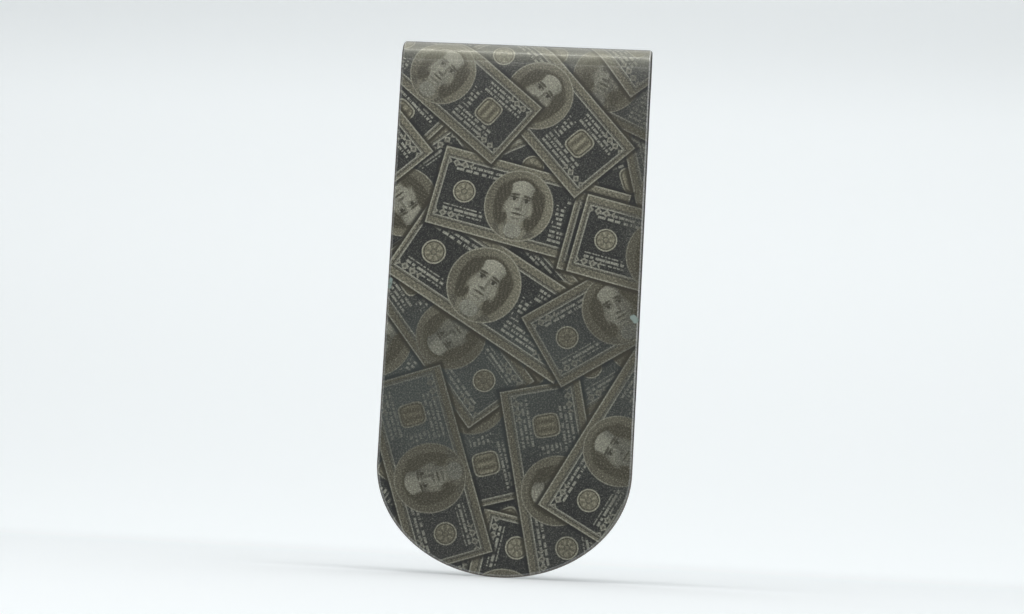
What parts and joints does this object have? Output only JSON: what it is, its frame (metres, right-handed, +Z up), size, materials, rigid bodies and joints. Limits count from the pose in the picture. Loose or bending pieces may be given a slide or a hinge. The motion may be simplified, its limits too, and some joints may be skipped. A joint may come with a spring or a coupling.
{
  "type": "money clip",
  "caption": "Folded sheet-steel clip with a flat rounded front plate and a shorter sprung rear leg that grips folded banknotes.",
  "frame": {"origin": "on the front plate's inner face, on the clip's centre line, at the height where the closed rear leg grips", "axes": "+X across the clip, +Y from the front plate back to the rear leg, +Z up along the clip to the bend"},
  "size_m": [0.0254, 0.0048, 0.054],
  "materials": {
    "printed_steel": "satin bronze-grey coating with a printed collage of overlapping banknotes under clear lacquer"
  },
  "bodies": {
    "front": {"front_plate": "printed_steel", "spring_bend": "printed_steel"},
    "rear_leg": {"rear_leg": "printed_steel"}
  },
  "joints": [
    {"name": "leg_spring", "type": "hinge", "parent": "front", "child": "rear_leg", "pos_m": [0, 0.0015, 0.0371], "axis": [1, 0, 0], "range_deg": [0, 8], "stiffness_Nm_per_rad": 10, "springref_deg": -1.72, "deforming": ["spring_bend"]}
  ]
}
